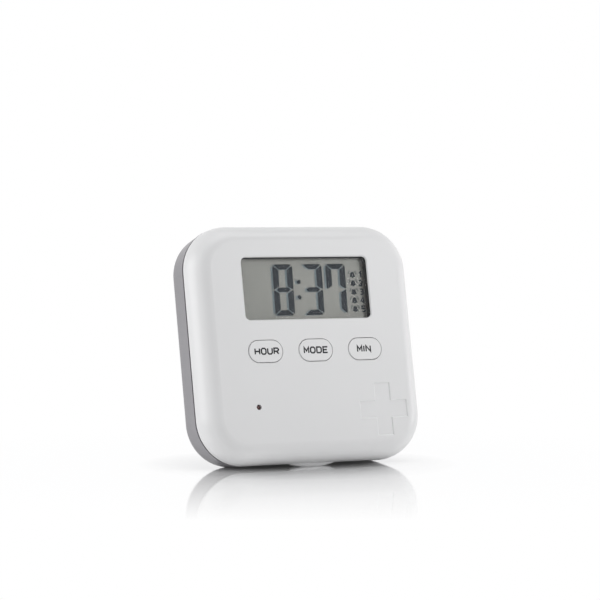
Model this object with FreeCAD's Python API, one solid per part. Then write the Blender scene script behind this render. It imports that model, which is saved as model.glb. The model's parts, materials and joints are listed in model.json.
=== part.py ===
import FreeCAD, Part
import math
import os

from FreeCAD import Placement, Rotation, Vector

# A pill box that stands leaning back, with an alarm clock built into its hinged lid.
#
# The pieces are drawn in the case frame: X to the right, Y from the flat front face into the case,
# Z up along the case, and the origin in the middle of the front face. At the end they are tipped
# back and set down on the floor, with the origin in the middle of the sole that the base stands on.

# Case outline and depths, in millimetres
case_width = 90.0
case_height = 88.0
corner_radius = 17.0
lid_depth = 9.1
base_depth = 13.7
seam_gap = 0.3
seam_step = 0.6
seam_step_depth = 0.5
lean_angle = 11.6

# Lid shell
lid_wall = 1.8
lid_edge_inset = 7.0
lid_edge_radius = 5.5
lid_inner_bevel = 4.0
cover_thickness = 1.4
cover_fit = 0.25

# Thumb tab under the lid
tab_width = 19.0
tab_drop = 1.45
tab_front = 8.4
tab_overhang = 1.9
tab_gap = 0.3
tab_bevel = 0.4
nib_radius = 0.2
nib_length = 8.0

# Sunk plus sign, by its distance from the right side and the bottom of the lid
plus_side = 17.7
plus_rise = 17.9
plus_span = 19.8
plus_arm = 6.7
plus_depth = 0.3
plus_slope = 0.35

# Display, by the room beside its window, and the shares of the room over the buttons below it and in it
window_side = 19.25
window_rise_share = 0.2453
window_share = 0.4863
window_radius = 1.8
window_bevel = 0.4
window_lip = 0.5
glass_corner = 0.6
lens_margin = 1.6
lens_fit = 0.1
lens_thickness = 0.8
gasket_thickness = 1.7
panel_margin = 2.6
panel_thickness = 1.8
panel_ledge = 2.4
holder_wall = 1.5
holder_fit = 0.2
strip_width = 2.0
strip_inset = 3.0

# Push buttons, in a row a little to the right of the middle
button_names = ("hour", "mode", "min")
button_row_x = 1.3
button_rise = 40.5
button_pitch = 20.4
button_width = 14.1
button_height = 8.5
button_gap = 0.25
button_proud = 0.25
button_bevel = 0.2
button_flange = 1.2
button_flange_thickness = 0.8
button_flange_gap = 0.1
button_travel = 0.6
button_post_radius = 1.6

# Switches on the board
switch_size = 6.0
switch_height = 2.3
stem_radius = 1.7
stem_proud = 0.7
stem_depth = 0.8
stem_fit = 0.06

# Coin cell half-way between the board and the lower edge of the cover, and its contacts
cell_radius = 10.0
cell_thickness = 3.2
cell_step = 0.5
cell_fit = 0.3
cell_ring_wall = 1.2
contact_width = 4.0
contact_thickness = 0.25
contact_reach = 6.0
contact_pad = 3.0

# Battery door, with its screw in a lower corner beside the cell
door_margin = 0.3
door_corner_radius = 3.0
door_thickness = 0.8
door_ledge = 1.2
door_fit = 0.2
door_screw_inset = 2.6
door_grips = 3

# Alarm lamp, by its share of the way across the board's leg
led_share = 0.446
led_rise = 20.2
led_radius = 0.9
led_hole_gap = 0.1
led_set_back = 0.4
led_base_radius = 1.3
led_base_height = 2.0

# Sounder beside the cell
sounder_beside_cell = 2.5
sounder_rise = 20.0
sounder_radius = 7.5
sounder_thickness = 0.3
ceramic_radius = 5.0
ceramic_thickness = 0.25
sounder_ring_wall = 1.2
sounder_ring_height = 1.2

# Screws, and the bosses and posts that they go into
screw_radius = 0.8
screw_fit = 0.04
screw_head_radius = 1.7
screw_head_height = 0.8
screw_grip = 4.0
screw_tip_gap = 1.0
screw_slot_width = 0.5
screw_slot_depth = 0.4
boss_radius = 2.4
boss_inset = 10.4
post_radius = 1.9
post_gap = 0.25

# Circuit board, which reaches past its posts, with a leg down to the lamp
board_thickness = 1.2
board_back_gap = 0.6
board_side = 2.3
board_below_top = 16.0
board_below_buttons = 7.0
board_below_led = 6.2
board_leg_gap = 3.5
board_corner_radius = 1.5
leg_post_side = 3.2
leg_post_rise = 2.4
blob_radius = 5.0
blob_height = 0.55

# Lid hinge
hinge_drop = 2.0
hinge_angle = 110.0
hinge_margin = 6.0
hinge_side = 21.0
end_knuckle = 9.0
knuckle_radius = 2.0
knuckle_clearance = 0.3
hinge_pin_radius = 0.8
pin_fit = 0.05
hinge_beam = 3.0

# Base shell
base_wall = 1.8
base_floor = 1.6
base_taper = 1.15
back_fillet = 4.0
sole_flat = 0.1

# Pill tray, whose rows are counted from the bottom
tray_wall = 1.2
tray_floor = 1.1
tray_fit = 0.2
tray_rim_gap = 0.8
tray_columns = (2, 3)
divider_fit = 0.1
tray_post_radius = 3.0
tray_post_inset = 8.0

# Fold-out stand on the back
stand_angle = 24.5
stand_width = 32.0
stand_foot_width = 26.0
stand_foot_radius = 4.0
stand_thickness = 2.3
stand_hinge_z = 2.0
stand_heel = 3.0
stand_set_in = 0.2
stand_side_gap = 0.4
stand_bevel = 0.5
stand_stop_gap = 0.08
stand_ridges = 3
stand_ridge_pitch = 3.0
stand_ridge_width = 1.2
stand_ridge_depth = 0.4
stand_ridge_inset = 5.0
recess_clearance = 0.2
recess_skin = 1.1
recess_wall = 3.0
trunnion_radius = 0.8
trunnion_length = 1.6
trunnion_fit = 0.06

# Drawing aids: how near two points count as one, and how far a cutting tool runs past a face
touch = 1e-5
past = 1.0

# Places that follow from the sizes above
origin = Vector(0, 0, 0)
along_x = Vector(1, 0, 0)
into_case = Vector(0, 1, 0)
forward = Vector(0, -1, 0)
lean = math.radians(lean_angle)
beyond = case_width + case_height

half_width = case_width / 2
half_height = case_height / 2
base_front = lid_depth + seam_gap
base_back = base_front + base_depth
step_back = base_front + seam_step
taper_slope = base_taper / (base_back - step_back)
tab_back = lid_depth + tab_overhang
nib_y = (step_back + tab_back) / 2

hinge_y = lid_depth + seam_gap / 2
hinge_z = half_height - hinge_drop
half_hinge = half_width - hinge_side
half_lid_knuckle = half_hinge - end_knuckle
beam_bottom = hinge_z - knuckle_radius

button_row_z = button_rise - half_height
over_buttons = case_height - button_rise
window_width = case_width - 2 * window_side
window_height = window_share * over_buttons
window_bottom = button_row_z + window_rise_share * over_buttons
window_z = window_bottom + window_height / 2
lens_back = window_lip + lens_thickness
panel_front = lens_back + gasket_thickness
panel_back = panel_front + panel_thickness
holder_margin = panel_margin + holder_fit + holder_wall

cover_front = lid_depth - cover_thickness
board_back = cover_front - board_back_gap
board_front = board_back - board_thickness
switch_front = board_front - switch_height
flange_front = lid_wall + button_flange_gap
flange_back = flange_front + button_flange_thickness

cell_back = board_back + contact_thickness
cell_front = cell_back - cell_thickness
cup_bore = cell_radius + cell_fit
cup_radius = cup_bore + cell_ring_wall
plus_x = half_width - plus_side
plus_z = plus_rise - half_height
led_z = led_rise - half_height
sounder_x = cup_radius + sounder_beside_cell + sounder_radius
sounder_z = sounder_rise - half_height
sounder_front = lid_wall + sounder_ring_height

door_reach = cup_radius + door_margin
door_front = lid_depth - door_thickness

post_x = window_width / 2 + holder_margin + post_gap + post_radius
post_z = (window_z + button_row_z) / 2
board_half_width = post_x + board_side
board_top = half_height - board_below_top
board_bottom = button_row_z - board_below_buttons
cover_bottom = lid_wall + cover_fit - half_height
cell_z = (board_bottom + cover_bottom) / 2
door_screw_offset = door_reach - door_screw_inset
door_screw_place = (door_screw_offset, cell_z - door_screw_offset)
leg_inner = -cup_radius - board_leg_gap
leg_bottom = led_z - board_below_led
led_x = leg_inner - led_share * (leg_inner + board_half_width)
blob_x = window_width / 4
post_places = ((-post_x, post_z), (post_x, post_z), (leg_inner - leg_post_side, leg_bottom + leg_post_rise))
boss_x = half_width - boss_inset
boss_z = half_height - boss_inset
boss_places = ((-boss_x, -boss_z), (-boss_x, boss_z), (boss_x, -boss_z), (boss_x, boss_z))

recess_depth = stand_thickness + stand_set_in + recess_clearance
recess_y = base_back - recess_depth
tray_back = recess_y - recess_skin
tray_front = base_front + tray_rim_gap
tray_top = beam_bottom - tray_fit
tray_bed = tray_back - tray_floor
tray_inset = base_wall + tray_fit
pocket_inset = tray_inset + tray_wall
pocket_right = half_width - pocket_inset
pocket_bottom = pocket_inset - half_height
pocket_top = tray_top - tray_wall
row_pitch = (pocket_top - pocket_bottom + tray_wall) / len(tray_columns)
stand_back = base_back - stand_set_in
stand_front = stand_back - stand_thickness

# The floor, tilted in the case frame: it touches the rounded lower back edge of the base
edge_y = base_back - back_fillet
edge_z = taper_slope * (edge_y - step_back) + back_fillet * math.hypot(1, taper_slope) - half_height
floor_drop = edge_y * math.sin(lean) - edge_z * math.cos(lean) + back_fillet - sole_flat
sole_y = edge_y * math.cos(lean) + edge_z * math.sin(lean)
tipped = Placement(Vector(0, -sole_y, floor_drop), Rotation(along_x, -lean_angle))

stand_axis = Vector(0, (stand_front + stand_back) / 2, stand_hinge_z)
stand_length = tipped.multVec(stand_axis).z / math.cos(math.radians(stand_angle - lean_angle))


# Plain shapes that the pieces are made from
def plate(width, height, radius, front, back, x=0.0, z=0.0):
    """Rounded rectangle across the case, from one depth to another, centred on (x, z)."""
    half_x = width / 2 - radius
    half_z = height / 2 - radius
    centres = ((half_x, half_z), (-half_x, half_z), (-half_x, -half_z), (half_x, -half_z))
    edges = []
    for turn, (centre_x, centre_z) in enumerate(centres):
        ends = []
        for angle in (90 * turn, 90 * turn + 45, 90 * turn + 90):
            around = math.radians(angle)
            point = Vector(centre_x + radius * math.cos(around), 0, centre_z + radius * math.sin(around))
            ends.append(point + Vector(x, front, z))
        if edges and edges[-1].lastVertex().Point.distanceToPoint(ends[0]) > touch:
            edges.append(Part.makeLine(edges[-1].lastVertex().Point, ends[0]))
        edges.append(Part.Arc(*ends).toShape())
    first, last = edges[0].firstVertex().Point, edges[-1].lastVertex().Point
    if last.distanceToPoint(first) > touch:
        edges.append(Part.makeLine(last, first))
    return Part.Face(Part.Wire(edges)).extrude(into_case * (back - front))


def case_plate(inset, front, back):
    """Plate that follows the case's outline, further in all round."""
    return plate(case_width - 2 * inset, case_height - 2 * inset, corner_radius - inset, front, back)


def block(left, right, front, back, bottom, top):
    """Square block between two limits each way."""
    return Part.makeBox(right - left, back - front, top - bottom, Vector(left, front, bottom))


def rod(radius, front, back, x, z):
    """Round bar that runs into the case."""
    return Part.makeCylinder(radius, back - front, Vector(x, front, z), into_case)


def bar(radius, left, right, y, z):
    """Round bar that runs across the case."""
    return Part.makeCylinder(radius, right - left, Vector(left, y, z), along_x)


def edges_at(shape, depth):
    """Edges that lie flat at one depth of the case."""
    return [e for e in shape.Edges if abs(e.BoundBox.YMin - depth) + abs(e.BoundBox.YMax - depth) < touch]


def edges_into_case(shape):
    """Straight edges that run into the case."""
    straight = [e for e in shape.Edges if e.Curve.TypeId == "Part::GeomLine"]
    return [e for e in straight if abs(abs(e.tangentAt(e.FirstParameter).y) - 1) < touch]


def carry_round(section, front, back):
    """Block with the case's rounded outline and one section of its edge carried all the way round."""
    half_x = half_width - corner_radius
    half_z = half_height - corner_radius
    corners = [Vector(half_x, 0, half_z), Vector(-half_x, 0, half_z)]
    corners += [Vector(-half_x, 0, -half_z), Vector(half_x, 0, -half_z)]
    pieces = []
    for turn in range(4):
        turned = section.copy()
        turned.rotate(origin, forward, 90 * turn)
        corner = turned.revolve(origin, forward, 90)
        corner.translate(corners[turn])
        turned.translate(corners[turn - 1])
        pieces += [corner, turned.extrude(corners[turn] - corners[turn - 1])]
    middle = block(-half_x, half_x, front, back, -half_z, half_z)
    return middle.multiFuse(pieces).removeSplitter()


def soft_block(front, back, inset, edge_radius):
    """Block whose front edge turns in by a wide arc on its flank and then a tighter one."""
    depth = back - front
    flank_radius = (inset**2 + (depth - edge_radius)**2 - edge_radius**2) / (2 * (inset - edge_radius))
    flank_centre = Vector(corner_radius - flank_radius, back, 0)
    edge_centre = Vector(corner_radius - inset, front + edge_radius, 0)
    joint = (edge_centre - flank_centre).normalize()
    on_flank = flank_centre + (along_x + joint).normalize() * flank_radius
    meeting = edge_centre + joint * edge_radius
    on_edge = edge_centre + (joint + forward).normalize() * edge_radius
    heel = Vector(corner_radius, back, 0)
    toe = Vector(corner_radius - inset, front, 0)
    section = Part.Face(Part.Wire([
        Part.Arc(heel, on_flank, meeting).toShape(),
        Part.Arc(meeting, on_edge, toe).toShape(),
        Part.makeLine(toe, Vector(0, front, 0)),
        Part.makeLine(Vector(0, front, 0), Vector(0, back, 0)),
        Part.makeLine(Vector(0, back, 0), heel),
    ]))
    return carry_round(section, front, back)


def tapered_plate(inset, front, back):
    """Plate that follows the base's side, which leans in towards the back, further in all round."""
    near, far = [corner_radius - inset - taper_slope * (depth - step_back) for depth in (front, back)]
    corners = [Vector(near, front, 0), Vector(far, back, 0), Vector(0, back, 0), Vector(0, front, 0)]
    return carry_round(Part.Face(Part.makePolygon(corners + corners[:1])), front, back)


def screw(tip, head_back, x, z):
    """Self-tapping screw driven from the back, with a slotted pan head."""
    head_front = head_back - screw_head_height
    solid = rod(screw_radius, tip, head_front, x, z).fuse(rod(screw_head_radius, head_front, head_back, x, z))
    slot = block(x - screw_head_radius, x + screw_head_radius, head_back - screw_slot_depth, head_back,
                 z - screw_slot_width / 2, z + screw_slot_width / 2)
    return solid.cut(slot)


def hinge_groove():
    """Open wedge above the lid hinge, so that the lid can swing back to its stop."""
    side = math.radians((hinge_angle + hinge_margin) / 2)
    rise = Vector(0, 0, math.cos(side)) * case_height / 4
    swing = Vector(0, math.sin(side), 0) * case_height / 4
    apex = Vector(-beyond, hinge_y, hinge_z)
    wedge = Part.Face(Part.makePolygon([apex, apex + rise - swing, apex + rise + swing, apex]))
    return wedge.extrude(along_x * 2 * beyond)


def floor_slab():
    """The floor under the leaning case, in the case frame."""
    slab = Part.makeBox(2 * beyond, 4 * beyond, beyond, Vector(-beyond, -2 * beyond, -beyond))
    slab.Placement = tipped.inverse()
    return slab


def button_place(index):
    return button_row_x + (index - 1) * button_pitch


# The lid
def thumb_tab():
    """Lens-shaped lip under the lid that reaches a little way under the base and stands on the floor."""
    bottom = -half_height
    half = tab_width / 2
    arc = Part.Arc(Vector(-half, tab_front, bottom), Vector(0, tab_front, bottom - tab_drop),
                   Vector(half, tab_front, bottom)).toShape()
    chord = Part.makeLine(arc.lastVertex().Point, arc.firstVertex().Point)
    lip = Part.Face(Part.Wire([arc, chord])).extrude(into_case * (tab_back - tab_front))
    curved = [e for e in edges_at(lip, tab_front) if e.Curve.TypeId != "Part::GeomLine"]
    lip = lip.makeChamfer(tab_bevel, curved)
    root = block(-half, half, tab_front, lid_depth, bottom, bottom + lid_wall)
    lip = lip.fuse(root).cut(block(-half, half, lid_depth, tab_back, bottom - tab_gap, bottom))
    nib = bar(nib_radius, -nib_length / 2, nib_length / 2, nib_y, bottom - tab_gap)
    return lip.fuse(nib).cut(floor_slab())


def plus_outline(grow, depth):
    """The plus sign's outline at one depth, grown all round."""
    arm, span = plus_arm / 2 + grow, plus_span / 2 + grow
    corners = []
    for turn in range(4):
        around = Rotation(into_case, 90 * turn)
        corners += [around.multVec(Vector(x, 0, z)) for x, z in ((arm, span), (arm, arm), (span, arm))]
    middle = Vector(plus_x, depth, plus_z)
    return Part.makePolygon([middle + corner for corner in corners + corners[:1]])


def plus_sign():
    """Shallow plus sign with sloping walls, to be cut into the front face."""
    mouth = plus_outline(plus_slope, -plus_depth)
    bed = plus_outline(-plus_slope, plus_depth)
    return Part.makeLoft([mouth, bed], True, True)


def lid_openings():
    """Window, button and lamp holes through the front of the lid."""
    through = lid_wall + past
    holes = [rod(led_radius + led_hole_gap, -through, through, led_x, led_z)]
    for index in range(len(button_names)):
        holes.append(plate(button_width, button_height, button_height / 2, -through, through,
                           button_place(index), button_row_z))
    return holes


def window_cut():
    """Display opening, with a bevel round its front edge and a step behind it for the lens."""
    wide = plate(window_width + 2 * window_bevel, window_height + 2 * window_bevel,
                 window_radius + window_bevel, -window_bevel, window_bevel, 0, window_z)
    flared = wide.makeChamfer(window_bevel, edges_at(wide, window_bevel))
    hole = window_plate(0, -past, lid_wall, window_radius)
    return hole.fuse([flared, window_plate(lens_margin + lens_fit, window_lip, lid_depth)])


def lid_fittings():
    """Bosses, posts, sounder ring and cell seat inside the lid."""
    inside = lid_wall / 2
    solids = [rod(boss_radius, inside, cover_front, x, z) for x, z in boss_places]
    solids.append(rod(boss_radius, inside, cover_front, *door_screw_place))
    solids += [rod(post_radius, inside, board_front, x, z) for x, z in post_places]
    ring = rod(sounder_radius, inside, sounder_front, sounder_x, sounder_z)
    solids.append(ring.cut(rod(sounder_radius - sounder_ring_wall, 0, lid_depth, sounder_x, sounder_z)))
    cup = rod(cup_radius, inside, cover_front, 0, cell_z)
    cup = cup.cut(rod(cup_bore, cell_front - contact_thickness, lid_depth, 0, cell_z))
    cup = cup.cut(rod(cup_bore - cell_ring_wall, lid_wall, lid_depth, 0, cell_z).cut(cell_pillar()))
    slot = block(-contact_width / 2 - cell_fit, contact_width / 2 + cell_fit, cell_front - contact_thickness,
                 lid_depth, cell_z, cell_z + cup_radius + cell_ring_wall)
    solids.append(cup.cut(slot))
    return solids


def cell_pillar():
    """Cross of ribs under the cell, which carries its contact."""
    top = cell_front - contact_thickness
    half = cell_ring_wall / 2
    upright = block(-half, half, 0, top, cell_z - cup_bore, cell_z + cup_bore)
    return upright.fuse(block(-cup_bore, cup_bore, 0, top, cell_z - half, cell_z + half))


def pilot_holes():
    """Screw holes in the bosses and posts of the lid."""
    radius = screw_radius + screw_fit
    deep = boss_places + (door_screw_place,)
    holes = [rod(radius, cover_front - screw_grip - screw_tip_gap, lid_depth, x, z) for x, z in deep]
    return holes + [rod(radius, board_front - screw_grip, lid_depth, x, z) for x, z in post_places]


def front_shell():
    outer = soft_block(0, lid_depth, lid_edge_inset, lid_edge_radius)
    inner = case_plate(lid_wall, lid_wall, lid_depth)
    inner = inner.makeChamfer(lid_inner_bevel, edges_at(inner, lid_wall))
    beam = block(-half_hinge, half_hinge, lid_depth - hinge_beam, lid_depth, beam_bottom, half_height)
    fittings = [solid.common(outer) for solid in lid_fittings() + [beam]]
    shell = outer.cut(inner).fuse(fittings).cut(hinge_groove())
    for side in (-1, 1):
        middle = side * (half_hinge + half_lid_knuckle) / 2
        reach = end_knuckle / 2 + knuckle_clearance
        room = bar(knuckle_radius + knuckle_clearance, middle - reach, middle + reach, hinge_y, hinge_z)
        shell = shell.cut(room)
    knuckle = bar(knuckle_radius, -half_lid_knuckle, half_lid_knuckle, hinge_y, hinge_z)
    shell = shell.fuse([knuckle, thumb_tab()])
    pin_hole = bar(hinge_pin_radius + pin_fit, -half_hinge, half_hinge, hinge_y, hinge_z)
    return shell.cut(lid_openings() + [window_cut(), plus_sign(), pin_hole] + pilot_holes()).removeSplitter()


def lid_back_cover():
    """Inner cover that closes the clock from behind, with the ledge that the battery door lies on."""
    cover = case_plate(lid_wall + cover_fit, cover_front, lid_depth)
    room = half_hinge + cover_fit
    cover = cover.cut(block(-room, room, 0, base_front, beam_bottom - cover_fit, half_height))
    cover = cover.cut(door_plate(door_fit, door_front, base_front))
    cover = cover.cut(door_plate(-door_ledge, cover_front, base_front))
    cuts = [rod(boss_radius + door_fit, cover_front, door_front, *door_screw_place)]
    for x, z in boss_places:
        cuts.append(rod(screw_head_radius + door_fit, lid_depth - screw_head_height, base_front, x, z))
        cuts.append(rod(screw_radius + door_fit, cover_front, base_front, x, z))
    return cover.cut(cuts)


def door_plate(grow, front, back):
    """The battery door's outline, grown all round."""
    side = 2 * (door_reach + grow)
    return plate(side, side, door_corner_radius + grow, front, back, 0, cell_z)


def battery_door():
    door = door_plate(0, door_front, lid_depth)
    for row in range(door_grips):
        grip_z = cell_z + door_reach - door_corner_radius - row * 2 * door_thickness
        door = door.cut(bar(door_thickness / 2, -door_reach / 2, door_reach / 2, lid_depth, grip_z))
    seat = rod(boss_radius, cover_front, door_front, *door_screw_place)
    door = door.fuse(seat)
    head = rod(screw_head_radius + door_fit, lid_depth - screw_head_height, base_front, *door_screw_place)
    hole = rod(screw_radius + door_fit, 0, base_front, *door_screw_place)
    return door.cut([head, hole])


def lid_screws():
    return Part.makeCompound([screw(cover_front - screw_grip, lid_depth, x, z) for x, z in boss_places])


def battery_door_screw():
    return screw(cover_front - screw_grip, lid_depth, *door_screw_place)


def board_screws():
    head_back = board_back + screw_slot_depth
    solids = []
    for x, z in post_places:
        shank = rod(screw_radius, board_front - screw_grip + screw_tip_gap, board_back, x, z)
        solids.append(shank.fuse(rod(screw_head_radius, board_back, head_back, x, z)))
    return Part.makeCompound(solids)


# The display
def window_plate(margin, front, back, radius=glass_corner):
    """Plate behind the window, larger than it all round."""
    return plate(window_width + 2 * margin, window_height + 2 * margin, radius, front, back, 0, window_z)


def lcd_window():
    return window_plate(lens_margin, window_lip, lens_back)


def lcd_gasket():
    """Black foam frame between the lens and the glass, whose inner wall shows through the lens."""
    opening = window_plate(0, lens_back, panel_front, window_radius)
    return window_plate(lens_margin, lens_back, panel_front).cut(opening)


def lcd_panel():
    """Two glass sheets, the back one taller, so that its lower edge bares the contacts."""
    middle = (panel_front + panel_back) / 2
    sheets = window_plate(panel_margin, panel_front, panel_back)
    bottom = window_bottom - panel_margin
    ledge = block(-case_width, case_width, middle, panel_back, bottom, bottom + panel_ledge)
    return sheets.cut(ledge)


def contact_strip(grow):
    """Rubber strip that joins the glass's contacts to the board."""
    level = window_bottom - panel_margin + strip_inset + panel_ledge / 2
    half = window_width / 2 - holder_wall
    return block(-half - grow, half + grow, panel_back, board_front,
                 level - strip_width / 2 - grow, level + strip_width / 2 + grow)


def lcd_holder():
    """White frame that holds the glass on the board."""
    outer = window_plate(holder_margin, panel_front + panel_thickness / 4, board_front)
    pocket = window_plate(panel_margin + holder_fit, 0, panel_back)
    return outer.cut([pocket, contact_strip(holder_fit)])


def zebra_strip():
    return contact_strip(0)


# The clock's electronics
def main_board():
    """Circuit board with a leg down to the lamp, and holes for its screws."""
    middle_z = (board_top + board_bottom) / 2
    board = plate(2 * board_half_width, board_top - board_bottom, board_corner_radius,
                  board_front, board_back, 0, middle_z)
    leg_x = (leg_inner - board_half_width) / 2
    leg_top = board_bottom + 2 * board_corner_radius
    leg = plate(leg_inner + board_half_width, leg_top - leg_bottom, board_corner_radius,
                board_front, board_back, leg_x, (leg_top + leg_bottom) / 2)
    holes = [rod(screw_radius + screw_fit, board_front, board_back, x, z) for x, z in post_places]
    return board.fuse(leg).removeSplitter().cut(holes)


def controller_blob():
    """Drop of resin over the clock chip, on the back of the board."""
    sphere_radius = (blob_radius**2 + blob_height**2) / (2 * blob_height)
    ball = Part.makeSphere(sphere_radius, Vector(blob_x, board_back + blob_height - sphere_radius, post_z))
    return ball.common(rod(blob_radius + past, board_back, base_front, blob_x, post_z))


def tact_switches():
    solids = []
    for index in range(len(button_names)):
        x = button_place(index)
        half = switch_size / 2
        body = block(x - half, x + half, switch_front, board_front, button_row_z - half, button_row_z + half)
        bottom = switch_front + stem_depth + button_travel + 2 * stem_fit
        well = rod(stem_radius + stem_fit, switch_front, bottom, x, button_row_z)
        solids.append(body.cut(well))
    return Part.makeCompound(solids)


def switch_stem(index):
    front = switch_front - stem_proud
    return rod(stem_radius, front, switch_front + stem_depth, button_place(index), button_row_z)


def push_button(index):
    """Oval cap with a bevelled front edge, a flange that keeps it in the lid, and a post to its switch."""
    x = button_place(index)
    wide, tall = button_width - 2 * button_gap, button_height - 2 * button_gap
    cap = plate(wide, tall, tall / 2, -button_proud, flange_front, x, button_row_z)
    cap = cap.makeChamfer(button_bevel, edges_at(cap, -button_proud))
    flange = plate(wide + 2 * button_flange, tall + 2 * button_flange, tall / 2 + button_flange, flange_front,
                   flange_back, x, button_row_z)
    post = rod(button_post_radius, flange_back, switch_front - stem_proud, x, button_row_z)
    return cap.fuse([flange, post]).removeSplitter()


def alarm_led():
    """Small lamp with a domed tip just inside its hole."""
    tip = led_set_back + led_radius
    dome = Part.makeSphere(led_radius, Vector(led_x, tip, led_z))
    body = rod(led_radius, tip, board_front, led_x, led_z)
    foot = rod(led_base_radius, board_front - led_base_height, board_front, led_x, led_z)
    return body.fuse([dome, foot]).removeSplitter()


def sounder_plate():
    return rod(sounder_radius, sounder_front, sounder_front + sounder_thickness, sounder_x, sounder_z)


def sounder_ceramic():
    front = sounder_front + sounder_thickness
    return rod(ceramic_radius, front, front + ceramic_thickness, sounder_x, sounder_z)


def coin_cell():
    """Button cell with its can's rim stepped in towards the front."""
    can = rod(cell_radius, cell_front + cell_step, cell_back, 0, cell_z)
    cap = rod(cell_radius - 2 * cell_step, cell_front, cell_front + cell_step, 0, cell_z)
    return can.fuse(cap).removeSplitter()


def negative_contact():
    """Strip under the cell, turned up to meet the front of the board."""
    half = contact_width / 2
    front = cell_front - contact_thickness
    top = board_bottom + contact_pad
    strip = block(-half, half, front, cell_front, cell_z - contact_reach / 2, top)
    return strip.fuse(block(-half, half, front, board_front, top - contact_pad / 2, top)).removeSplitter()


def positive_contact():
    """Strip from the back of the board over the back of the cell."""
    half = contact_width / 2
    top = board_bottom + contact_pad
    finger_bottom = cell_z + cell_radius - contact_reach
    strip = block(-half, half, cell_back, cell_back + contact_thickness, finger_bottom, top)
    return strip.fuse(block(-half, half, board_back, cell_back, board_bottom, top)).removeSplitter()


# The base
def recess_outline(grow, front, back, bottom):
    """Well for the folded stand, open at the lower end, grown on its sides and at its top."""
    half = stand_width / 2 + stand_side_gap + grow
    top = stand_hinge_z + stand_heel + 2 * stand_side_gap + grow
    return block(-half, half, front, back, bottom, top)


def rear_shell():
    """Grey shell for the pill tray, stepped in at the seam, with hinge knuckles and a well for the stand."""
    outer = tapered_plate(0, step_back, base_back)
    outer = outer.makeFillet(back_fillet, edges_at(outer, base_back)).cut(floor_slab())
    outer = outer.fuse(case_plate(seam_step_depth, base_front, step_back))
    cavity = tapered_plate(base_wall, base_front, base_back - base_floor)
    cavity = cavity.makeChamfer(back_fillet - base_wall, edges_at(cavity, base_back - base_floor))
    beam = block(-half_hinge, half_hinge, base_front, base_front + hinge_beam, beam_bottom, half_height)
    well_case = recess_outline(recess_wall, tray_back, base_back, -half_height)
    post_out = half_width - base_wall - tray_post_inset
    post_up = half_height - base_wall - tray_post_inset
    corners = [(side * post_out, level * post_up) for side in (-1, 1) for level in (-1, 1)]
    posts = [rod(tray_post_radius, tray_back, base_back, x, z) for x, z in corners]
    inner = [solid.common(outer) for solid in [beam, well_case] + posts]
    shell = outer.cut(cavity).fuse(inner).cut(hinge_groove())
    gap_end = half_lid_knuckle + knuckle_clearance
    room = bar(knuckle_radius + knuckle_clearance, -gap_end, gap_end, hinge_y, hinge_z)
    shell = shell.cut([room, recess_outline(0, recess_y, base_back + past, -beyond)])
    knuckles = [bar(knuckle_radius, -half_hinge, -gap_end, hinge_y, hinge_z),
                bar(knuckle_radius, gap_end, half_hinge, hinge_y, hinge_z)]
    pin_hole = bar(hinge_pin_radius + pin_fit, -half_hinge, half_hinge, hinge_y, hinge_z)
    half_stand = stand_width / 2 + trunnion_length + stand_side_gap
    bores = bar(trunnion_radius + trunnion_fit, -half_stand, half_stand, stand_axis.y, stand_hinge_z)
    half_nib = nib_length / 2 + nib_radius
    catch = bar(2 * nib_radius, -half_nib, half_nib, nib_y, -half_height)
    return shell.fuse(knuckles).cut([pin_hole, bores, catch]).removeSplitter()


def tray_plate(inset, front, back, top):
    """Plate that follows the base's side further in, cut off level under the hinge."""
    return tapered_plate(inset, front, back).cut(block(-beyond, beyond, 0, base_back, top, beyond))


def pill_tray():
    tray = tray_plate(tray_inset, tray_front, tray_back, tray_top)
    return tray.cut(tray_plate(pocket_inset, tray_front, tray_bed, pocket_top))


def tray_divider():
    """Insert that parts the tray into pockets: walls between its rows, and walls across each row."""
    walls = []
    for row, columns in enumerate(tray_columns):
        low = pocket_bottom + row * row_pitch
        high = low + row_pitch - tray_wall
        if row > 0:
            walls.append(block(-pocket_right, pocket_right, tray_front, tray_bed, low - tray_wall, low))
        column_pitch = (2 * pocket_right + tray_wall) / columns
        for column in range(1, columns):
            right = column * column_pitch - pocket_right
            walls.append(block(right - tray_wall, right, tray_front, tray_bed, low, high))
    room = tray_plate(pocket_inset + divider_fit, tray_front, tray_bed, pocket_top - divider_fit)
    return walls[0].multiFuse(walls[1:]).removeSplitter().common(room)


def hinge_pin():
    return bar(hinge_pin_radius, -half_hinge, half_hinge, hinge_y, hinge_z)


# The stand
def stand():
    """Leg on the back, drawn folded, then swung out until its foot meets the floor."""
    top = stand_hinge_z + stand_heel
    foot = stand_hinge_z - stand_length
    half, half_foot = stand_width / 2, stand_foot_width / 2
    corners = [(-half, top), (half, top), (half, stand_hinge_z), (half_foot, foot), (-half_foot, foot),
               (-half, stand_hinge_z), (-half, top)]
    outline = Part.makePolygon([Vector(x, stand_front, z) for x, z in corners])
    leg = Part.Face(outline).extrude(into_case * stand_thickness)
    low_edges = [e for e in edges_into_case(leg) if e.BoundBox.ZMax < foot + past]
    leg = leg.makeFillet(stand_foot_radius, low_edges)
    leg = leg.makeChamfer(stand_bevel, edges_at(leg, stand_back))
    for row in range(stand_ridges):
        level = foot + stand_ridge_inset + row * stand_ridge_pitch
        leg = leg.cut(block(-half_foot / 2, half_foot / 2, stand_back - stand_ridge_depth, stand_back,
                            level, level + stand_ridge_width))
    reach = half + trunnion_length
    leg = leg.fuse(bar(trunnion_radius, -reach, reach, stand_axis.y, stand_hinge_z))
    leg.rotate(stand_axis, along_x, stand_angle)
    inside_stop = block(-beyond, beyond, 0, recess_y + stand_stop_gap, -beyond, beyond)
    return leg.cut([inside_stop, floor_slab()])


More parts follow.
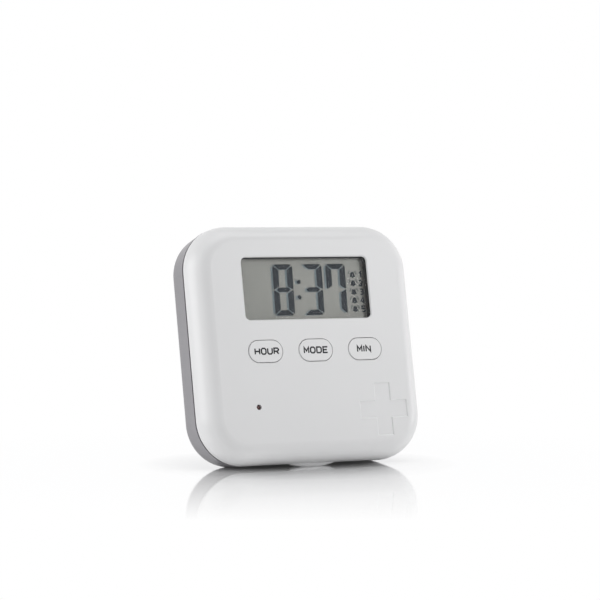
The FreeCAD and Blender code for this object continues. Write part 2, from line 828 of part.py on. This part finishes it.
def build():
    """Every piece, in the case frame."""
    nodes = {
        "front_shell": front_shell(),
        "lid_back_cover": lid_back_cover(),
        "lid_screws": lid_screws(),
        "battery_door": battery_door(),
        "battery_door_screw": battery_door_screw(),
        "lcd_window": lcd_window(),
        "lcd_gasket": lcd_gasket(),
        "lcd_panel": lcd_panel(),
        "lcd_holder": lcd_holder(),
        "zebra_strip": zebra_strip(),
        "main_board": main_board(),
        "board_screws": board_screws(),
        "controller_blob": controller_blob(),
        "tact_switches": tact_switches(),
        "alarm_led": alarm_led(),
        "sounder_plate": sounder_plate(),
        "sounder_ceramic": sounder_ceramic(),
        "coin_cell": coin_cell(),
        "negative_contact": negative_contact(),
        "positive_contact": positive_contact(),
        "rear_shell": rear_shell(),
        "pill_tray": pill_tray(),
        "tray_divider": tray_divider(),
        "hinge_pin": hinge_pin(),
        "stand": stand(),
    }
    for index, name in enumerate(button_names):
        nodes[name + "_button"] = push_button(index)
        nodes[name + "_switch_stem"] = switch_stem(index)
    return nodes


os.makedirs("parts", exist_ok=True)
for node, shape in build().items():
    shape.Placement = tipped.multiply(shape.Placement)
    shape.exportStep("parts/" + node + ".step")
    state = "valid" if shape.isValid() else "INVALID"
    print(node, len(shape.Solids), "solids", round(shape.Volume), "mm3", state)
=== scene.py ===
import json
import math

import bmesh
import bpy
from mathutils import Matrix, Vector


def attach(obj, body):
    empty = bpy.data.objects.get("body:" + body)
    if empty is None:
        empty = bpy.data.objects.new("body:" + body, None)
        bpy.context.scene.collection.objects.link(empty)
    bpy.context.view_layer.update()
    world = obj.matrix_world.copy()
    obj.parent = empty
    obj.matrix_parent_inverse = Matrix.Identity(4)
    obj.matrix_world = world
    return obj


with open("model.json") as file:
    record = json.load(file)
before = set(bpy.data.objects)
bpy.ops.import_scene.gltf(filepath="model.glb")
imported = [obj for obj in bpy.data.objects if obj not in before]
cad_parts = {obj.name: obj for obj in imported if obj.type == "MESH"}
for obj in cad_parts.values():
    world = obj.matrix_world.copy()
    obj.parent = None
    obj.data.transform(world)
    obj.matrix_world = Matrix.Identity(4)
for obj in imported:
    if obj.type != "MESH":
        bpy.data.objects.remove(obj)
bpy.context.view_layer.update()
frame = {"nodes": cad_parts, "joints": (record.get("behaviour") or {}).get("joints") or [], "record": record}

MM = 0.001

# The case frame of the CAD source, from the middle of the front face: X across, Y into the case,
# Z up along the face. The hinge's place in it is in millimetres
HINGE_Y, HINGE_Z = 9.25, 42.0
joints = {joint["name"]: joint for joint in frame["joints"]}
across = Vector((1, 0, 0))
into = Vector(joints["hour_press"]["axis"]).normalized()
upward = across.cross(into)
front = Vector(joints["lid_hinge"]["pos_m"]) - (into * HINGE_Y + upward * HINGE_Z) * MM
case = Matrix.Translation(front) @ Matrix((across, into, upward)).transposed().to_4x4()


# Node materials
PATCH_DETAIL = 3.0
FINE_DETAIL = 2.0
NOISE_LOW, NOISE_HIGH = 0.3, 0.7
GLOSS_DRIFT = 0.15
GRAIN_DEPTH = 0.00002

materials = {}


def new_material(name):
    material = bpy.data.materials.new(name)
    material.use_nodes = True
    tree = material.node_tree
    tree.nodes.clear()
    return material, tree


def add(tree, kind, **inputs):
    """Node with values set on its input sockets by name."""
    node = tree.nodes.new(kind)
    for name, value in inputs.items():
        node.inputs[name.replace("_", " ")].default_value = value
    return node


def ramp(tree, value, low, high, at_low, at_high):
    """Value mapped from one range onto another, and level beyond its ends."""
    node = add(tree, "ShaderNodeMapRange",
               From_Min=low, From_Max=high, To_Min=at_low, To_Max=at_high)
    tree.links.new(value, node.inputs["Value"])
    return node.outputs["Result"]


def noise(tree, place, scale, detail):
    node = add(tree, "ShaderNodeTexNoise", Scale=scale, Detail=detail)
    tree.links.new(place, node.inputs["Vector"])
    return node.outputs["Fac"]


def surface_material(name, colour, rough, drift, drift_scale, grain=0.0, grain_scale=4000.0,
                     **shader):
    """Surface whose colour drifts in patches, and whose gloss and bumps follow a fine grain."""
    material, tree = new_material(name)
    place = tree.nodes.new("ShaderNodeTexCoord").outputs["Object"]
    patches = noise(tree, place, drift_scale, PATCH_DETAIL)
    fine = noise(tree, place, grain_scale, FINE_DETAIL)
    tint = tree.nodes.new("ShaderNodeMix")
    tint.data_type = "RGBA"
    tint.inputs["A"].default_value = [c * (1 - drift) for c in colour] + [1]
    tint.inputs["B"].default_value = [min(1, c * (1 + drift)) for c in colour] + [1]
    tree.links.new(ramp(tree, patches, NOISE_LOW, NOISE_HIGH, 0, 1), tint.inputs["Factor"])
    surface = add(tree, "ShaderNodeBsdfPrincipled", **shader)
    tree.links.new(tint.outputs["Result"], surface.inputs["Base Color"])
    gloss = ramp(tree, fine, NOISE_LOW, NOISE_HIGH,
                 rough * (1 - GLOSS_DRIFT), min(1, rough * (1 + GLOSS_DRIFT)))
    tree.links.new(gloss, surface.inputs["Roughness"])
    if grain:
        bump = add(tree, "ShaderNodeBump", Strength=grain, Distance=GRAIN_DEPTH)
        tree.links.new(fine, bump.inputs["Height"])
        tree.links.new(bump.outputs["Normal"], surface.inputs["Normal"])
    output = tree.nodes.new("ShaderNodeOutputMaterial")
    tree.links.new(surface.outputs["BSDF"], output.inputs["Surface"])
    materials[name] = material


# The record's material slots
surface_material("white_shell", (0.748, 0.748, 0.751), rough=0.34, drift=0.008, drift_scale=40,
                 grain=0.05, grain_scale=6000)
surface_material("button_plastic", (0.756, 0.756, 0.759), rough=0.38, drift=0.008, drift_scale=80,
                 grain=0.05, grain_scale=6000)
surface_material("inner_white", (0.70, 0.70, 0.69), rough=0.5, drift=0.02, drift_scale=50,
                 grain=0.1, grain_scale=5000)
surface_material("grey_shell", (0.255, 0.248, 0.263), rough=0.32, drift=0.03, drift_scale=50,
                 grain=0.15, grain_scale=5000, Specular_IOR_Level=0.2)
surface_material("tray_plastic", (0.66, 0.69, 0.71), rough=0.28, drift=0.015, drift_scale=40,
                 grain=0.05, grain_scale=5000)
surface_material("clear_window", (0.85, 0.87, 0.86), rough=0.06, drift=0.01, drift_scale=40,
                 IOR=1.49, Alpha=0.02)
surface_material("lcd_glass", (0.174, 0.177, 0.165), rough=0.38, drift=0.03, drift_scale=90,
                 grain=0.1, grain_scale=9000, Metallic=0.6, Specular_IOR_Level=0.1)
surface_material("black_foam", (0.02, 0.02, 0.022), rough=0.85, drift=0.2, drift_scale=300,
                 grain=0.5, grain_scale=3000, Specular_IOR_Level=0.2)
surface_material("green_board", (0.03, 0.16, 0.08), rough=0.4, drift=0.1, drift_scale=200,
                 grain=0.1, grain_scale=3000)
surface_material("black_resin", (0.02, 0.02, 0.02), rough=0.35, drift=0.2, drift_scale=200,
                 grain=0.1, grain_scale=3000)
surface_material("red_lamp", (0.1, 0.035, 0.035), rough=0.2, drift=0.1, drift_scale=400,
                 grain_scale=3000)
surface_material("sounder_brass", (0.72, 0.52, 0.22), rough=0.3, drift=0.06, drift_scale=300,
                 grain=0.1, grain_scale=3000, Metallic=1.0)
surface_material("sounder_ceramic", (0.7, 0.68, 0.62), rough=0.6, drift=0.05, drift_scale=300,
                 grain=0.2, grain_scale=3000)
surface_material("cell_steel", (0.62, 0.62, 0.61), rough=0.25, drift=0.05, drift_scale=300,
                 grain=0.1, grain_scale=3000, Metallic=1.0)
surface_material("screw_steel", (0.5, 0.5, 0.52), rough=0.32, drift=0.08, drift_scale=500,
                 grain=0.1, grain_scale=4000, Metallic=1.0)

# Print on the display glass and the buttons, and a painted shadow of the digits on the glass
surface_material("lcd_ink", (0.028, 0.034, 0.042), rough=0.5, drift=0.1, drift_scale=500,
                 Specular_IOR_Level=0.05)
# Painted shadow: the paler tone where the digits' shadow falls on the display behind them
surface_material("lcd_painted_shadow", (0.16, 0.2, 0.215), rough=0.5, drift=0.05, drift_scale=500,
                 Specular_IOR_Level=0.1)
surface_material("label_ink", (0.035, 0.035, 0.04), rough=0.5, drift=0.1, drift_scale=900,
                 Specular_IOR_Level=0.1)

for part in frame["record"]["subparts"]:
    node = frame["nodes"][part["node"]]
    node.data.materials.clear()
    node.data.materials.append(materials[part["material_slot"]])


# New pieces are thin print and a painted shadow of the digits, drawn in the case frame in millimetres.
# A layer is the depth of a piece's front and back
PANEL_FRONT = 3.0
CAP_FRONT = -0.25
# The painted shadow of the digits lies just behind them
PAINTED_SHADOW_LAYER = (PANEL_FRONT - 0.02, PANEL_FRONT + 0.01)
DIGIT_LAYER = (PANEL_FRONT - 0.05, PANEL_FRONT - 0.015)
ALARM_LAYER = (PANEL_FRONT - 0.05, PANEL_FRONT + 0.01)
LABEL_LAYER = (CAP_FRONT - 0.012, CAP_FRONT + 0.02)


def new_object(name, data):
    thing = bpy.data.objects.new(name, data)
    bpy.context.scene.collection.objects.link(thing)
    return thing


def mesh_object(name, mesh_data, material):
    mesh = bpy.data.meshes.new(name)
    mesh_data.to_mesh(mesh)
    mesh_data.free()
    mesh.materials.append(material)
    return new_object(name, mesh)


def piece(name, mesh_data, material, body):
    """Object made from a mesh in the case frame, which moves with a body."""
    mesh_data.transform(case @ Matrix.Scale(MM, 4))
    bmesh.ops.recalc_face_normals(mesh_data, faces=mesh_data.faces)
    thing = mesh_object(name, mesh_data, materials[material])
    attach(thing, body)


def slab(mesh_data, outline, layer):
    """Thin plate with the given outline of (x, z) points."""
    y_front, y_back = layer
    near = [mesh_data.verts.new((x, y_front, z)) for x, z in outline]
    far = [mesh_data.verts.new((x, y_back, z)) for x, z in outline]
    mesh_data.faces.new(near)
    mesh_data.faces.new(list(reversed(far)))
    for index in range(len(outline)):
        follow = (index + 1) % len(outline)
        mesh_data.faces.new((near[index], far[index], far[follow], near[follow]))


def arc(x, z, radius_x, radius_z, degrees):
    """Points of an ellipse at the given angles."""
    angles = [math.radians(d) for d in degrees]
    return [(x + radius_x * math.cos(a), z + radius_z * math.sin(a)) for a in angles]


# Clock digits on the display glass, each with its left edge and its bars, over a painted shadow:
# a paler copy of them, shifted to where the shade that they cast on the display behind them falls
DIGITS = ((-12.33, "abcdefg"), (-0.15, "abcdg"), (9.56, "abcf"))
DIGIT_HEIGHT = 19.1
DIGIT_WIDTH = 8.1
DIGIT_BOTTOM = 9.97
DIGIT_SLANT = 0.51
UPRIGHT_BAR = 2.35
LEVEL_BAR = 2.0
MIDDLE_BAR = 1.7
BAR_GAP = 0.25
CORNER_CUT = 0.7
COLON_DOTS = ((-1.61, 22.42), (-1.82, 16.67))
DOT_RADIUS = 0.86
DOT_STEP = 15
# Painted shadow: how far the copy of the digits is moved, left and down
PAINTED_SHADOW_SHIFT = (-0.85, -0.15)


def segment(name):
    """Outline of one bar of a seven-bar digit. Bars on the right and below are mirrored."""
    top = DIGIT_HEIGHT
    middle = DIGIT_HEIGHT / 2
    right = DIGIT_WIDTH
    cut = CORNER_CUT
    tip = UPRIGHT_BAR / 2
    half = MIDDLE_BAR / 2
    if name in "ad":
        outline = [
            (cut + BAR_GAP, top),
            (right - cut - BAR_GAP, top),
            (right - cut / 2 - BAR_GAP, top - cut / 2),
            (right - UPRIGHT_BAR - BAR_GAP, top - LEVEL_BAR),
            (UPRIGHT_BAR + BAR_GAP, top - LEVEL_BAR),
            (cut / 2 + BAR_GAP, top - cut / 2),
        ]
    elif name == "g":
        outline = [
            (tip, middle),
            (tip + half, middle + half),
            (right - tip - half, middle + half),
            (right - tip, middle),
            (right - tip - half, middle - half),
            (tip + half, middle - half),
        ]
    else:
        outline = [
            (0, top - cut - BAR_GAP),
            (cut / 2, top - cut / 2 - BAR_GAP),
            (UPRIGHT_BAR, top - LEVEL_BAR - BAR_GAP),
            (UPRIGHT_BAR, middle + half + 2 * BAR_GAP),
            (UPRIGHT_BAR / 4, middle + BAR_GAP),
            (0, middle + BAR_GAP),
        ]
        if name in "bc":
            outline = [(right - x, z) for x, z in outline]
    if name in "cde":
        outline = [(x, top - z) for x, z in outline]
    return outline


def clock_face(name, shift, layer, material):
    """All digits and the colon, moved by a shift in x and z."""
    shift_x, shift_z = shift
    mesh_data = bmesh.new()
    for start, bars in DIGITS:
        for bar in bars:
            outline = []
            for x, z in segment(bar):
                lean = DIGIT_SLANT * z / DIGIT_HEIGHT
                outline.append((start + x + lean + shift_x, DIGIT_BOTTOM + z + shift_z))
            slab(mesh_data, outline, layer)
    for x, z in COLON_DOTS:
        turn = range(0, 360, DOT_STEP)
        slab(mesh_data, arc(x + shift_x, z + shift_z, DOT_RADIUS, DOT_RADIUS, turn), layer)
    piece(name, mesh_data, material, "lid")


# First the painted shadow of the digits, then the digits on top of it
clock_face("lcd_digit_painted_shadow", PAINTED_SHADOW_SHIFT, PAINTED_SHADOW_LAYER, "lcd_painted_shadow")
clock_face("lcd_digits", (0, 0), DIGIT_LAYER, "lcd_ink")

# Five alarm bells down the right of the display. Heights in a bell are from the middle of its row
ALARMS = 5
ALARM_TOP = 24.85
ALARM_PITCH = 3.23
BELL_X = 21.0
DOME_RADII = (0.84, 0.92)
DOME_RISE = 0.22
DOME_TURN = range(0, 181, 20)
FLARE = ((0.96, -0.3), (1.3, -0.85))
CLAPPER_RADII = (0.36, 0.26)
CLAPPER_DROP = 0.95
CLAPPER_TURN = range(0, 360, 45)
MARK_RADII = (1.3, 1.68)
MARK_WIDTH = 0.17
MARK_RISE = 0.15
MARK_SPANS = ((0, 52), (128, 180))
MARK_STEPS = 8


def arc_band(x, z, radius, width, start, end):
    """Outline of a curved bar."""
    degrees = [start + (end - start) * k / MARK_STEPS for k in range(MARK_STEPS + 1)]
    outer = arc(x, z, radius + width, radius + width, degrees)
    return outer + arc(x, z, radius, radius, reversed(degrees))


def bell(x, z):
    """Outlines of a bell that flares to its rim, its clapper, and two ringing marks either side."""
    body = arc(x, z + DOME_RISE, *DOME_RADII, DOME_TURN)
    body += [(x - wide, z + rise) for wide, rise in FLARE]
    body += [(x + wide, z + rise) for wide, rise in reversed(FLARE)]
    clapper = arc(x, z - CLAPPER_DROP, *CLAPPER_RADII, CLAPPER_TURN)
    marks = [arc_band(x, z + MARK_RISE, radius, MARK_WIDTH, start, end)
             for radius in MARK_RADII for start, end in MARK_SPANS]
    return [body, clapper] + marks


icons = bmesh.new()
for row in range(ALARMS):
    for outline in bell(BELL_X, ALARM_TOP - row * ALARM_PITCH):
        slab(icons, outline, ALARM_LAYER)
piece("lcd_bells", icons, "lcd_ink", "lid")


# Plain single-stroke letters and numbers, each a set of lines on a grid one unit high
WIDE = 0.85
HALF = WIDE / 2
BEVEL = 0.22
EDGE = WIDE - BEVEL
UPPER = 1 - BEVEL
R_BAR = 0.45
STROKES = {
    "H": [[(0, 0), (0, 1)], [(WIDE, 0), (WIDE, 1)], [(0, 0.5), (WIDE, 0.5)]],
    "O": [[(HALF, 0), (BEVEL, 0), (0, BEVEL), (0, UPPER), (BEVEL, 1),
           (EDGE, 1), (WIDE, UPPER), (WIDE, BEVEL), (EDGE, 0), (HALF, 0)]],
    "U": [[(0, 1), (0, BEVEL), (BEVEL, 0), (EDGE, 0), (WIDE, BEVEL), (WIDE, 1)]],
    "R": [[(0, 0), (0, 1), (EDGE, 1), (WIDE, UPPER), (WIDE, R_BAR + BEVEL), (EDGE, R_BAR),
           (0, R_BAR)],
          [(HALF, R_BAR), (WIDE, 0)]],
    "M": [[(0, 0), (0, 1), (HALF, 0.35), (WIDE, 1), (WIDE, 0)]],
    "D": [[(0, 0), (0, 1), (EDGE, 1), (WIDE, UPPER), (WIDE, BEVEL), (EDGE, 0), (0, 0)]],
    "E": [[(WIDE, 1), (0, 1), (0, 0), (WIDE, 0)], [(0, 0.5), (WIDE * 0.85, 0.5)]],
    "I": [[(0, 0), (0, 1)]],
    "N": [[(0, 0), (0, 1), (WIDE, 0), (WIDE, 1)]],
    "1": [[(0.15, 0.75), (0.45, 1), (0.45, 0)]],
    "2": [[(0, 0.85), (0.15, 1), (0.45, 1), (0.6, 0.85), (0.6, 0.6), (0, 0.1), (0, 0), (0.6, 0)]],
    "3": [[(0, 1), (0.45, 1), (0.6, 0.85), (0.6, 0.15), (0.45, 0), (0, 0)],
          [(0.15, 0.52), (0.6, 0.52)]],
    "4": [[(0.45, 0), (0.45, 1), (0, 0.35), (0.65, 0.35)]],
    "5": [[(0.6, 1), (0, 1), (0, 0.55), (0.45, 0.55), (0.6, 0.4), (0.6, 0.15), (0.45, 0), (0, 0)]],
}

# At a sharp bend a line is at most 1 / MITRE_LIMIT times as wide as elsewhere
MITRE_LIMIT = 0.4


def ribbon(points, width):
    """Outline of a line of even width with mitred bends."""
    points = [Vector(p) for p in points]
    left, right = [], []
    for index, point in enumerate(points):
        before = (point - points[index - 1]).normalized() if index else None
        after = (points[index + 1] - point).normalized() if index + 1 < len(points) else None
        before, after = before or after, after or before
        side = Vector((-before.y - after.y, before.x + after.x))
        side = side.normalized() * width / 2 / max(MITRE_LIMIT, side.length / 2)
        left.append(tuple(point + side))
        right.append(tuple(point - side))
    return left + right[::-1]


def letter_width(letter):
    return max(x for line in STROKES[letter] for x, z in line)


def lettering(name, word, height, weight, middle_x, middle_z, layer, material, body, width=None):
    """Word of plain letters, spaced evenly over a width where one is given."""
    mesh_data = bmesh.new()
    bare = sum(letter_width(letter) for letter in word) * height
    span = width - weight if width else bare
    space = (span - bare) / max(1, len(word) - 1)
    left = middle_x - span / 2
    for letter in word:
        for line in STROKES[letter]:
            scaled = [(left + x * height, middle_z + (z - 0.5) * height) for x, z in line]
            slab(mesh_data, ribbon(scaled, weight), layer)
        left += letter_width(letter) * height + space
    piece(name, mesh_data, material, body)


# Each bell's number. The column leans a little to the right on its way down
NUMBER_X = 24.25
NUMBER_LEAN = 0.08
NUMBER_HEIGHT = 2.0
NUMBER_WEIGHT = 0.54
for row in range(ALARMS):
    lettering("lcd_number_%d" % (row + 1), str(row + 1), NUMBER_HEIGHT, NUMBER_WEIGHT,
              NUMBER_X + NUMBER_LEAN * (row - ALARMS // 2), ALARM_TOP - row * ALARM_PITCH,
              ALARM_LAYER, "lcd_ink", "lid")

# Each button's word, its middle and its width
LABELS = {"hour": ("HOUR", -18.75, 10.0), "mode": ("MODE", 1.25, 10.1), "min": ("MIN", 21.2, 5.9)}
LABEL_Z = -3.5
LABEL_HEIGHT = 2.1
LABEL_WEIGHT = 0.55
for key, (word, middle_x, width) in LABELS.items():
    lettering(key + "_label", word, LABEL_HEIGHT, LABEL_WEIGHT, middle_x, LABEL_Z,
              LABEL_LAYER, "label_ink", key + "_button", width)


# Floor and world, in metres. A fade is given as two distances from the object's origin and the
# values there
WHITE = (1, 1, 1, 1)
FLOOR_REACH = 4.0
FLOOR_COLOUR = (0.9, 0.9, 0.9, 1)
MIRROR_COLOUR = (0.985, 0.985, 0.99, 1)
MIRROR_ROUGH = 0.06
SHADOW_FADE = (0.036, 0.06, 0.9, 0.0)
MIRROR_FADE = (0.02, 0.18, 0.84, 0.0)
GLOW_FADE = (0.02, 0.07, 0.0, 0.185)
FILL_COLOUR = (0.97, 0.98, 1.0, 1)
FILL_STRENGTH = 0.265


def shown_to_viewer(tree):
    """One for rays that show the background: to the camera, or by way of gloss or glass."""
    path = tree.nodes.new("ShaderNodeLightPath")
    share = path.outputs["Is Camera Ray"]
    for name in ("Is Glossy Ray", "Is Transmission Ray"):
        either = tree.nodes.new("ShaderNodeMath")
        either.operation = "MAXIMUM"
        tree.links.new(share, either.inputs[0])
        tree.links.new(path.outputs[name], either.inputs[1])
        share = either.outputs[0]
    return share


def mix(tree, share, first, second):
    node = tree.nodes.new("ShaderNodeMixShader")
    tree.links.new(share, node.inputs["Fac"])
    tree.links.new(first, node.inputs[1])
    tree.links.new(second, node.inputs[2])
    return node.outputs[0]


def floor_material():
    """White floor with the object's shadow close round it and a mirror image that fades away.

    The light that it throws back grows from the object outwards.
    """
    material, tree = new_material("floor_white")
    place = tree.nodes.new("ShaderNodeTexCoord").outputs["Object"]
    length = tree.nodes.new("ShaderNodeVectorMath")
    length.operation = "LENGTH"
    tree.links.new(place, length.inputs[0])
    distance = length.outputs["Value"]
    matte = add(tree, "ShaderNodeBsdfDiffuse", Color=FLOOR_COLOUR).outputs[0]
    white = add(tree, "ShaderNodeEmission", Color=WHITE, Strength=1.0).outputs[0]
    mirror = add(tree, "ShaderNodeBsdfGlossy", Color=MIRROR_COLOUR, Roughness=MIRROR_ROUGH)
    ground = mix(tree, ramp(tree, distance, *SHADOW_FADE), white, matte)
    shown = mix(tree, ramp(tree, distance, *MIRROR_FADE), ground, mirror.outputs[0])
    glow = add(tree, "ShaderNodeEmission", Color=WHITE)
    tree.links.new(ramp(tree, distance, *GLOW_FADE), glow.inputs["Strength"])
    bounce = tree.nodes.new("ShaderNodeAddShader")
    tree.links.new(matte, bounce.inputs[0])
    tree.links.new(glow.outputs[0], bounce.inputs[1])
    seen = mix(tree, shown_to_viewer(tree), bounce.outputs[0], shown)
    output = tree.nodes.new("ShaderNodeOutputMaterial")
    tree.links.new(seen, output.inputs["Surface"])
    return material


sheet = bmesh.new()
bmesh.ops.create_grid(sheet, x_segments=1, y_segments=1, size=FLOOR_REACH)
floor = mesh_object("floor", sheet, floor_material())

world = bpy.data.worlds.new("studio")
bpy.context.scene.world = world
world.use_nodes = True
sky = world.node_tree
sky.nodes.clear()
fill = add(sky, "ShaderNodeBackground", Color=FILL_COLOUR, Strength=FILL_STRENGTH).outputs[0]
backdrop = add(sky, "ShaderNodeBackground", Color=WHITE, Strength=1.0).outputs[0]
world_output = sky.nodes.new("ShaderNodeOutputWorld")
sky.links.new(mix(sky, shown_to_viewer(sky), fill, backdrop), world_output.inputs["Surface"])

# Soft studio lights that face the object: place and size in metres, power in watts
AIM = Vector((0, 0, 0.045))
LIGHTS = {
    "top_light": ((0.1, -0.15, 1.1), 0.9, 5.13),
    "left_light": ((-1.0, 0.25, 0.35), 0.7, 5.62),
    "side_light": ((1.0, -0.1, 0.4), 0.7, 1.06),
    "low_light": ((0.95, -0.5, 0.14), 0.25, 1.5),
    "near_light": ((0.28, -0.42, 0.3), 0.2, 0.44),
}


def looking(direction):
    """Rotation of a light or camera that looks along a direction."""
    return direction.to_track_quat("-Z", "Y").to_euler()


for name, (place, size, power) in LIGHTS.items():
    softbox = bpy.data.lights.new(name, "AREA")
    softbox.shape = "SQUARE"
    softbox.size = size
    softbox.energy = power
    lamp = new_object(name, softbox)
    lamp.location = place
    lamp.rotation_euler = looking(AIM - Vector(place))

# Camera at the photograph's angle. Its place is from the middle of the front face, in metres
SENSOR_WIDTH = 36
FOCAL_LENGTH = 157.2
CAMERA_PLACE = Vector((-0.436995, -0.852994, 0.047540))
CAMERA_LOOK = Vector((0.45174, 0.89156, -0.03405))
lens = bpy.data.cameras.new("camera")
lens.sensor_width = SENSOR_WIDTH
lens.lens = FOCAL_LENGTH
camera = new_object("camera", lens)
camera.location = front + CAMERA_PLACE
camera.rotation_euler = looking(CAMERA_LOOK)
bpy.context.scene.camera = camera
bpy.context.scene.view_settings.view_transform = "Standard"
